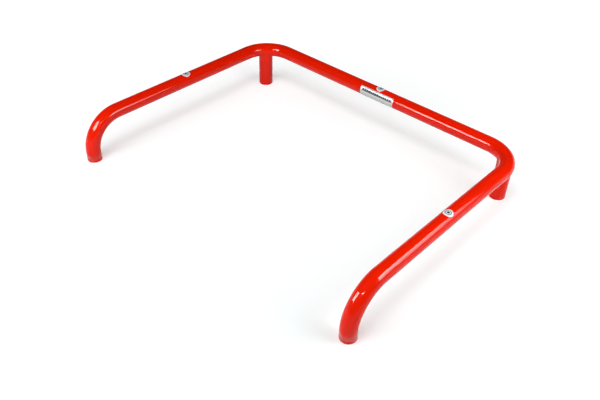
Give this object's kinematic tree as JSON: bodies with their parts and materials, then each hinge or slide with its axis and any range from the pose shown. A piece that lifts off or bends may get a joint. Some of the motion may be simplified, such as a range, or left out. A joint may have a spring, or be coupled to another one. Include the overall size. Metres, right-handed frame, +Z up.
{
  "type": "low hockey goal frame",
  "caption": "Low U-shaped goal frame of bent round tube with coped, welded rear legs and plugged feet, set on the floor as a target for hockey passing practice.",
  "frame": {"origin": "on the floor, under the middle of the frame's box", "axes": "+X along the back rail to the right as seen from the open front, +Y from the open front to the back rail, +Z up"},
  "size_m": [0.543, 0.41, 0.0796],
  "materials": {
    "frame_coating": "gloss red powder coat",
    "weld_coating": "gloss red powder coat over a weld bead",
    "plug_plastic": "satin moulded red plastic",
    "sticker_film": "gloss white vinyl film with a plain dark mark",
    "label_foil": "silvered film with plain dark bars"
  },
  "bodies": {
    "root": {"hoop_tube": "frame_coating", "rear_leg_left": "frame_coating", "rear_leg_right": "frame_coating", "weld_bead_left": "weld_coating", "weld_bead_right": "weld_coating", "end_plug_front_left": "plug_plastic", "end_plug_front_right": "plug_plastic", "end_plug_rear_left": "plug_plastic", "end_plug_rear_right": "plug_plastic", "round_sticker_left": "sticker_film", "round_sticker_back": "sticker_film", "round_sticker_right": "sticker_film", "foil_label": "label_foil"}
  },
  "joints": []
}
